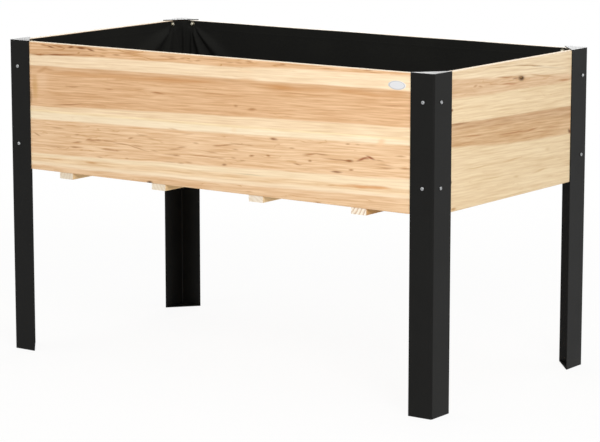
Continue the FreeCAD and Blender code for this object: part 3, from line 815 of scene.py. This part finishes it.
bend_angle = np.clip((w - (wall_height - bag_bend)) / bag_bend, 0, math.pi / 2)
low_bend = bag_floor + bag_bend * (1 - np.sin(bend_angle))
height = np.where(w < wall_height - bag_bend, bag_top - w, low_bend)
height = height - sag * np.clip(1 - w / sag_fade, 0, 1)
spine_x = np.clip(x, bag_half_y - bag_half_x, bag_half_x - bag_half_y)
towards = np.stack([spine_x - x, -y], -1)
towards_unit = towards / np.linalg.norm(towards, axis=1, keepdims=True)
turned_in = bag_bend * (1 - np.cos(bend_angle))
wall = np.empty((*s.shape, 3))
for axis, line in enumerate((x, y)):
    wall[..., axis] = line - outward[:, axis] * inward + towards_unit[:, axis] * turned_in
wall[..., 2] = height
print("deepest fold", round(1000 * inward.max(), 1), "mm")

# %% [markdown]
# # The bag's floor
# The floor starts from the last ring of the wall and runs in to a line along the middle, so that wall
# and floor are one grid. It lies on the boards, with a few low creases that only ever rise.

# %% Bag floor
crease_height = 0.0005

inner_ring = wall[-1, :, :2]
share = np.linspace(0, 1, 13)[1:, None]
middle = np.stack([spine_x, np.zeros_like(spine_x)], -1)
bottom = np.empty((len(share), len(around), 3))
bottom[..., :2] = inner_ring * (1 - share[..., None]) + middle * share[..., None]
crease = np.zeros(bottom.shape[:2])
for wave in range(7):
    direction = rng.uniform(0, math.pi)
    length = rng.uniform(0.10, 0.34)
    travel = bottom[..., 0] * math.cos(direction) + bottom[..., 1] * math.sin(direction)
    crease += 0.5 + 0.5 * np.sin(2 * np.pi * travel / length + rng.uniform(0, phase_range))
bottom[..., 2] = bag_floor + crease_height * crease * np.clip(share / 0.1, 0, 1)
bag_grid = np.concatenate([wall, bottom])
lengths_down = np.concatenate([down, down[-1] + (share[:, 0] * (bag_half_y - bag_bend))])
cloth_uv = np.stack(np.meshgrid(around, lengths_down), -1).reshape(-1, 2)
print("bag grid", bag_grid.shape)

# %% [markdown]
# # Black felt
# Spun felt is a mat of fine fibres, matt and a little hairy, with a sheen where light skims it. The
# dotted roller leaves small pressed points about 2 mm apart. They are drawn at 4 mm, because the real
# spacing would vanish in the render. The hem is sewn with a running stitch.

# %% Felt finish
bond_pitch_mm = 4.0
stitch_pitch_mm = 6.0
stitch_row_mm = 19.0
stitch_share = 0.68
hair_mm = (7.0, 3.0)
worn_mm = 140.0
flat_mm = 1000.0

felt, put = new_finish("black_spun_felt")
cloth = put("UVMap", uv_map="cloth")
diagonal = {"Rotation": (0, 0, math.radians(45)), "Scale": per_mm(bond_pitch_mm, bond_pitch_mm, flat_mm)}
dots = {"Vector": put("Mapping", {"Vector": cloth, **diagonal}), "Scale": 1.0, "Randomness": 0.12}
bonds = put("TexVoronoi", dots, voronoi_dimensions="2D")
pressed = put("MapRange SMOOTHSTEP", [bonds, 0.12, 0.34])
hair_at = put("Mapping", {"Vector": cloth, "Scale": per_mm(*hair_mm, flat_mm)})
fuzz = {"Vector": hair_at, "Scale": 1.0, "Detail": 5.0, "Roughness": 0.7, "Distortion": 0.8}
hair = put("TexNoise", fuzz)
worn_at = put("Mapping", {"Vector": cloth, "Scale": per_mm(worn_mm, worn_mm, flat_mm)})
worn = put("TexNoise", {"Vector": worn_at, "Scale": 1.0, "Detail": 3.0})
cloth_axes = put("SeparateXYZ", [cloth]).node.outputs
stitch_step = put("Math MULTIPLY", [cloth_axes[0], 1000.0 / stitch_pitch_mm])
stitch_step = put("Math FRACT", [stitch_step])
stitch_on = put("Math LESS_THAN", [stitch_step, stitch_share])
row_off = put("Math SUBTRACT", [cloth_axes[1], stitch_row_mm / 1000])
row_off = put("Math ABSOLUTE", [row_off])
in_row = put("MapRange", [row_off, 0.0004, 0.0011, 1.0, 0.0])
stitch = put("Math MULTIPLY", [stitch_on, in_row])
fibre_black = put("Mix RGBA", {0: hair, 6: linear("#181817"), 7: linear("#272725")})
dusty = put("MapRange", [worn, 0.4, 0.75, 0.0, 0.35])
felt_black = put("Mix RGBA", {0: dusty, 6: fibre_black, 7: linear("#2A2A27")})
felt_black = put("Mix RGBA", {0: stitch, 6: felt_black, 7: linear("#262624")})
nap = put("Math MULTIPLY_ADD", [hair, 0.6, pressed])
nap = put("Math MULTIPLY_ADD", [stitch, 2.0, nap])
relief = put("Bump", {"Height": nap, "Strength": 0.35, "Distance": 0.0006})
cloth_look = {"Base Color": felt_black, "Roughness": 0.85, "IOR": 1.45, "Specular IOR Level": 0.02,
              "Normal": relief, "Sheen Weight": 0.01, "Sheen Roughness": 0.5}
put("OutputMaterial", {"Surface": put("BsdfPrincipled", cloth_look)})

liner_bag = make_piece("felt_liner_bag", [bag_grid], felt, cloth_uv)
wall_of_cloth = liner_bag.modifiers.new("cloth_thickness", "SOLIDIFY")
wall_of_cloth.thickness = cloth_thickness
wall_of_cloth.offset = 0.0
stand_for(liner_bag, "liner")

# %% [markdown]
# # Turned hardware
# Screws and eyelets are round things, so each is a profile turned about an axis: a row for each point
# of the profile, a column for each angle. The cross recess in a screw head is pressed in afterwards by
# lowering the points that lie within its four arms.

# %% Turning helpers
turn_columns = 48


def turned_shape(radius, height):
    """Profile points (radius, height) carried round the z axis: x = r cos a, y = r sin a, z = h."""
    angle = np.linspace(0, 2 * math.pi, turn_columns + 1)
    radius, height = np.asarray(radius, float)[:, None], np.asarray(height, float)[:, None]
    return np.stack([radius * np.cos(angle), radius * np.sin(angle), height + 0 * angle], -1)


def set_at(shape, seat, axis, spin=0.0):
    """Spins a turned shape about its axis, lays that along a direction on its seat, and turns mm to metres."""
    c, s_ = math.cos(spin), math.sin(spin)
    shape = shape @ np.array([[c, s_, 0], [-s_, c, 0], [0, 0, 1]])
    turn = np.array(Vector((0, 0, 1)).rotation_difference(Vector(axis)).to_matrix())
    return (shape @ turn.T + np.asarray(seat, float)) / 1000.0


def press_cross(shape, rows, arm, half_width, depth):
    """Lowers the first rows by a cross: within its arms, |x| or |y| under half_width, it slopes inwards."""
    top = shape[:rows]
    across, along = np.sort(np.abs(top[..., :2]), axis=-1).transpose(2, 0, 1)
    wall = np.clip((half_width - across) / 0.25 + 0.5, 0, 1)
    end = np.clip((arm - along) / 0.7, 0, 1)
    top[..., 2] -= depth * wall * end
    return shape


# %% [markdown]
# # Zinc and nickel
# The screws of the wood and the legs are zinc plated steel, bluish grey with a slightly cloudy
# surface. Those in the liner are passivated a warm white, and stand out against the darker nickel of
# their eyelets. All are bare metals, so they take their colour from what they mirror.

# %% Metal finishes
patch_mm = 2.5
patch_depth = 0.72


def plated(name, shade, low_rough, high_rough):
    """A plated metal whose gloss drifts in patches of a few millimetres."""
    finish, put = new_finish(name)
    place = put("TexCoord", out="Object")
    patch_at = put("Mapping", {"Vector": place, "Scale": per_mm(*[patch_mm] * 3)})
    patch = put("TexNoise", {"Vector": patch_at, "Scale": 1.0, "Detail": 3.0})
    rough = put("MapRange", [patch, *cloud_range, low_rough, high_rough])
    light = linear(shade)
    deep = (*(patch_depth * c for c in light[:3]), 1.0)
    tint = put("Mix RGBA", {0: patch, 6: light, 7: deep})
    metal = {"Base Color": tint, "Metallic": 1.0, "Roughness": rough}
    put("OutputMaterial", {"Surface": put("BsdfPrincipled", metal)})
    return finish


zinc = plated("bright_zinc_plate", "#B2B4B5", 0.30, 0.44)
warm_zinc = plated("passivated_zinc_plate", "#F0EBD8", 0.26, 0.36)
nickel = plated("nickel_plate", "#8E8773", 0.30, 0.42)
print("metals:", zinc.name, warm_zinc.name, nickel.name)

# %% [markdown]
# # Pan head screws
# Sixteen screws fix the legs and eight hold the eyelets. All have a low domed head 8 mm across with a
# cross recess and a 4 mm shank.

# %% Pan head screws
head_radius = 4.0
head_height = 2.6
head_rim = 0.9
shank_radius = 2.0
tip_length = 4.0
any_spin = 1.57


def pan_head(shank_length):
    """Dome of height rim + (h - rim) * sqrt(1 - (r / R)^2.2), rim, flat underside, shank and point."""
    out = np.sin(np.linspace(0, math.pi / 2, 18))
    dome = head_rim + (head_height - head_rim) * np.sqrt(np.clip(1 - out ** 2.2, 0, 1))
    radius = [*(head_radius * out), head_radius, shank_radius, shank_radius, 0.0]
    height = [*dome, 0.0, 0.0, tip_length - shank_length, -shank_length]
    return press_cross(turned_shape(radius, height), rows=12, arm=2.4, half_width=0.5, depth=1.4)


leg_face_x, leg_face_y = 600.0, 325.0
leg_screw_heights = (687.5, 502.5)
leg_screw_places = []
# Each corner, and how far from the middle its screws in the long wall and in the end wall are.
for side_x, side_y, from_middle_x, from_middle_y in (
    (-1, -1, 576, 303), (1, -1, 572, 297), (-1, 1, 572, 297), (1, 1, 576, 303)
):
    for z in leg_screw_heights:
        leg_screw_places.append(((side_x * from_middle_x, side_y * leg_face_y, z), (0, side_y, 0)))
        leg_screw_places.append(((side_x * leg_face_x, side_y * from_middle_y, z), (side_x, 0, 0)))
leg_screw = pan_head(14.0)
leg_grids = [set_at(leg_screw, *place, rng.uniform(0, any_spin)) for place in leg_screw_places]
stand_for(make_piece("pan_head_leg_screws", leg_grids, zinc), "leg_screws")

eyelet_z = 738.5
eyelet_places = []
for side_x in (-1, 1):
    for side_y in (-1, 1):
        eyelet_places.append(((side_x * 544.8, side_y * 305.3, eyelet_z), (0, -side_y, 0)))
        eyelet_places.append(((side_x * 580.3, side_y * 269.8, eyelet_z), (-side_x, 0, 0)))
crown = 1.0
liner_screw = pan_head(12.7)
liner_grids = []
for seat, axis in eyelet_places:
    on_crown = np.array(seat) + crown * np.array(axis)
    liner_grids.append(set_at(liner_screw, on_crown, axis, rng.uniform(0, any_spin)))
stand_for(make_piece("pan_head_liner_screws", liner_grids, warm_zinc), "liner_screws")
print(len(leg_grids), "leg screws and", len(liner_grids), "liner screws")

# %% [markdown]
# # Rolled eyelets
# An eyelet is a tube pushed through the cloth, its front edge rolled over into a smooth ring and its
# back edge set over a washer. The profile is a closed loop: up the bore, over the roll, back under the
# flange to the cloth, along the barrel and over the washer.

# %% Eyelets
bore_radius = 2.75
barrel_radius = 3.25
flange_radius = 7.0
washer_depth = 0.7
cloth_mm = 1.5

roll = np.linspace(0, math.pi, 15)
roll_middle = (bore_radius + flange_radius) / 2
roll_half = (flange_radius - bore_radius) / 2
eyelet_radius = [bore_radius, *(roll_middle - roll_half * np.cos(roll)), barrel_radius, barrel_radius,
                 flange_radius, flange_radius, bore_radius]
eyelet_height = [-cloth_mm - washer_depth, *(crown * np.sin(roll) ** 0.8), 0.0, -cloth_mm,
                 -cloth_mm, -cloth_mm - washer_depth, -cloth_mm - washer_depth]
eyelet_shape = turned_shape(eyelet_radius, eyelet_height)
eyelet_grids = [set_at(eyelet_shape, seat, axis) for seat, axis in eyelet_places]
stand_for(make_piece("rolled_liner_eyelets", eyelet_grids, nickel), "liner_eyelets")
print(len(eyelet_grids), "eyelets")

# %% [markdown]
# # Flat head screws
# The slats are screwed up into the panels and the boards from below, with countersunk heads. Each has
# a flat top flush with the slat, a cone under it and the same cross recess.

# %% Flat head screws
flat_radius = 4.0
flat_rim = 0.4
flat_depth = 2.4


def flat_head(length):
    """Flat disc, thin rim, cone down to the shank, shank and point, with the cross pressed into the disc."""
    out = np.linspace(0, 1, 14)
    radius = [*(flat_radius * out), flat_radius, shank_radius, shank_radius, 0.0]
    height = [*(0 * out), -flat_rim, -flat_depth, tip_length - length, -length]
    return press_cross(turned_shape(radius, height), rows=12, arm=2.5, half_width=0.5, depth=1.3)


slat_under_z = 429.0
panel_middle_y = 315.5
slat_middles = [first_slat_mm + slat_pitch_mm * k for k in range(4)]
slat_seats = [(sx, sy, slat_under_z) for sx in slat_middles for sy in (-panel_middle_y, panel_middle_y)]
board_seats = [(sx, board_pitch_mm * k, slat_under_z) for sx in slat_middles for k in range(-2, 3)]
for node, seats, length in (("slat_screws", slat_seats, 38.0), ("floor_screws", board_seats, 24.0)):
    screw = flat_head(length)
    grids = [set_at(screw, seat, (0, 0, -1), rng.uniform(0, any_spin)) for seat in seats]
    stand_for(make_piece("flat_head_" + node, grids, zinc), node)
    print(len(grids), node)

# %% [markdown]
# # Blank oval plate
# A small oval plate sits on the front panel near its right leg. It is a thin white enamelled disc with
# a soft rim and nothing printed on it, only a fine grey line inside its edge.

# %% Oval plate
plate_half_x = 0.0225
plate_half_z = 0.0098
plate_thick = 0.0010
plate_x = 0.5045
plate_z = 0.7195
front_face_y = -0.323
line_at = 0.86

enamel, put = new_finish("white_enamel")
# Enamel: glossy, slightly cool white. The line is drawn where the oval's own radius is near 0.86.
middle = {"Location": (plate_x, front_face_y, plate_z), "Scale": (plate_half_x, 1.0, plate_half_z)}
centred = put("Mapping", {"Vector": put("TexCoord", out="Object"), **middle}, vector_type="TEXTURE")
flat_oval = put("VectorMath MULTIPLY", [centred, (1.0, 0.0, 1.0)])
oval_radius = put("VectorMath LENGTH", [flat_oval])
off_line = put("Math SUBTRACT", [oval_radius, line_at])
off_line = put("Math ABSOLUTE", [off_line])
line = put("MapRange", [off_line, 0.02, 0.06, 0.75, 0.0])
white = put("Mix RGBA", {0: line, 6: linear("#DCDDE0"), 7: linear("#A3A6AC")})
gloss = {"Base Color": white, "Roughness": 0.22, "IOR": 1.5}
put("OutputMaterial", {"Surface": put("BsdfPrincipled", gloss)})

out = np.array([0.0, 0.2, 0.4, 0.6, 0.75, 0.86, 0.93, 0.97, 1.0, 1.0, 0.0])
rise = np.array([1.0, 1.0, 0.99, 0.97, 0.95, 0.92, 0.86, 0.72, 0.4, 0.0, 0.0])
angle = np.linspace(0, 2 * math.pi, 65)
oval_grid = np.stack([
    plate_x + plate_half_x * out[:, None] * np.cos(angle),
    front_face_y - plate_thick * rise[:, None] + 0 * angle,
    plate_z + plate_half_z * out[:, None] * np.sin(angle),
], -1)
plate = make_piece("blank_oval_plate", [oval_grid], enamel)
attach(plate, "root")
print("oval plate", 2000 * plate_half_x, "by", 2000 * plate_half_z, "mm")
